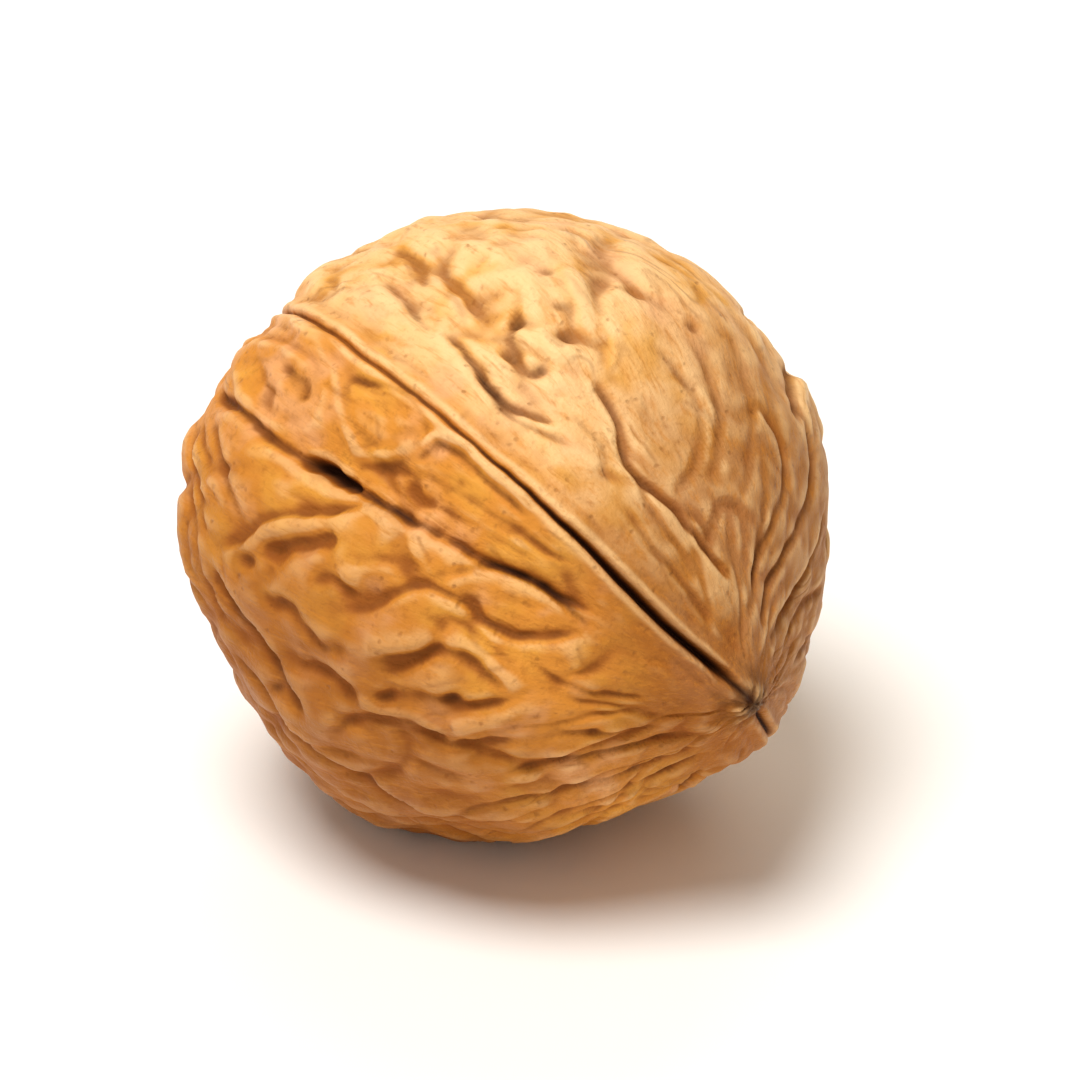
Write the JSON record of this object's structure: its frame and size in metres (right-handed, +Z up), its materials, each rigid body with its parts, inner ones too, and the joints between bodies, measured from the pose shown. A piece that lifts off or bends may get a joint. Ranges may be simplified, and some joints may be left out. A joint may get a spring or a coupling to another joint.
{
  "type": "walnut",
  "caption": "Whole walnut in its closed shell: a plump, wrinkled, tan nut with a raised seam along each side, a small beak at one end, lying on a flat spot.",
  "frame": {"origin": "middle of the nut's bounding box, at the height of the flat spot it lies on", "axes": "+X along the nut towards its pointed end, +Z up, +Y completes the right-handed frame"},
  "size_m": [0.0358, 0.0338, 0.0332],
  "materials": {
    "shell": "dry, matt woody shell, light tan on the high places, with brown hollows and dark brown seams and pits"
  },
  "bodies": {
    "root": {"walnut": "shell"}
  },
  "joints": []
}
